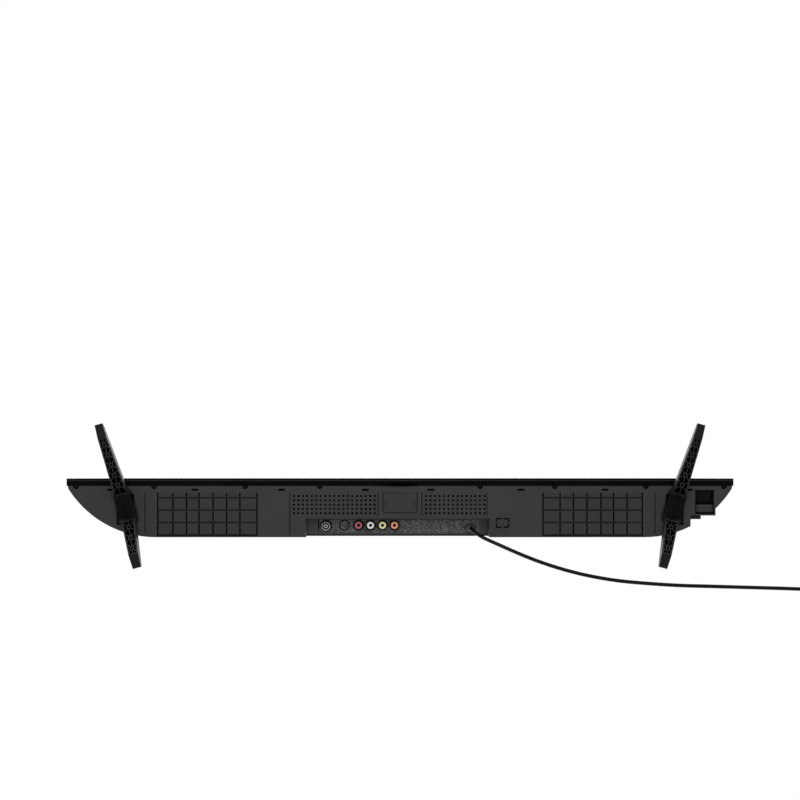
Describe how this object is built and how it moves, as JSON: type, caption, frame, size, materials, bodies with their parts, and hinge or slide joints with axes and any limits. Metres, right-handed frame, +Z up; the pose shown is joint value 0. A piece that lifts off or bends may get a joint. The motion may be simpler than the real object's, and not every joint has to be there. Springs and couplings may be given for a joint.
{
  "type": "flat screen tv",
  "caption": "Flat screen television with a thin bezel, thicker lower back, underside speakers and jacks, splayed ribbed legs and a captive mains lead.",
  "frame": {"origin": "on the floor, midway between the ends of the bezel and midway front to rear over the legs", "axes": "+X to the viewer's right, +Y to the rear (the screen faces -Y), +Z up"},
  "size_m": [0.8857, 0.1804, 0.487],
  "materials": {
    "bezel_black": "fine satin black",
    "cover_grey": "fine spark-eroded dark grey",
    "trim_grey": "smooth dark grey",
    "leg_black": "semi-gloss black",
    "rubber_black": "soft matt",
    "panel_glass": "anti-glare dark glass",
    "sheet_white": "white film",
    "steel": "zinc plated",
    "nickel": "nickel plated",
    "brass": "bright brass",
    "aluminium": "extruded",
    "board_green": "solder mask",
    "board_tan": "bare laminate",
    "parts_black": "moulded",
    "ir_dark": "smoked window",
    "red": "moulded",
    "white": "moulded",
    "yellow": "moulded",
    "orange": "moulded",
    "cord_black": "smooth sheath"
  },
  "bodies": {
    "body": {"front_bezel": "bezel_black", "lcd_panel": "panel_glass", "optical_sheets": "sheet_white", "diffuser_plate": "sheet_white", "middle_frame": "parts_black", "reflector": "sheet_white", "led_bars": "aluminium", "led_lenses": "sheet_white", "backlight_pan": "steel", "rear_cover": "cover_grey", "service_cover": "trim_grey", "ir_window": "ir_dark", "ir_board": "board_green", "cover_screws": "steel", "main_board": "board_green", "main_heatsink": "aluminium", "main_board_parts": "parts_black", "tuner_can": "steel", "power_board": "board_tan", "power_board_parts": "parts_black", "tcon_board": "board_green", "signal_cable": "sheet_white", "board_standoffs": "brass", "jack_plate": "trim_grey", "antenna_jack": "nickel", "rca_block": "parts_black", "rca_shells": "nickel", "rca_insert_red": "red", "rca_insert_white": "white", "rca_insert_yellow": "yellow", "rca_insert_orange": "orange", "side_plate": "trim_grey", "side_board": "board_green", "hdmi_ports": "nickel", "usb_port": "nickel", "headphone_jack": "parts_black", "key_switch": "parts_black", "key_board": "board_green", "speaker_box_left": "parts_black", "speaker_box_right": "parts_black", "speaker_magnet_left": "steel", "speaker_magnet_right": "steel", "leg_left": "leg_black", "leg_right": "leg_black", "leg_pads": "rubber_black", "leg_screws": "steel", "leg_brackets": "steel", "wall_mount_inserts": "steel", "cord_gland": "cord_black", "power_cord": "cord_black", "power_cord_coil": "cord_black", "coil_tie": "rubber_black", "plug_body": "cord_black", "plug_pins": "brass"},
    "paddle": {"power_paddle": "trim_grey"},
    "cone_left": {"speaker_cone_left": "parts_black"},
    "cone_right": {"speaker_cone_right": "parts_black"}
  },
  "joints": [
    {"name": "paddle_press", "type": "hinge", "parent": "body", "child": "paddle", "pos_m": [0.33435, 0.0172, 0.072], "axis": [1, 0, 0], "range_deg": [0, 4], "stiffness_Nm_per_rad": 0.5},
    {"name": "cone_left_travel", "type": "slide", "parent": "body", "child": "cone_left", "axis": [0, 0, 1], "range_m": [-0.0015, 0.0015], "stiffness_N_per_m": 1500},
    {"name": "cone_right_travel", "type": "slide", "parent": "body", "child": "cone_right", "axis": [0, 0, 1], "range_m": [-0.0015, 0.0015], "stiffness_N_per_m": 1500}
  ]
}
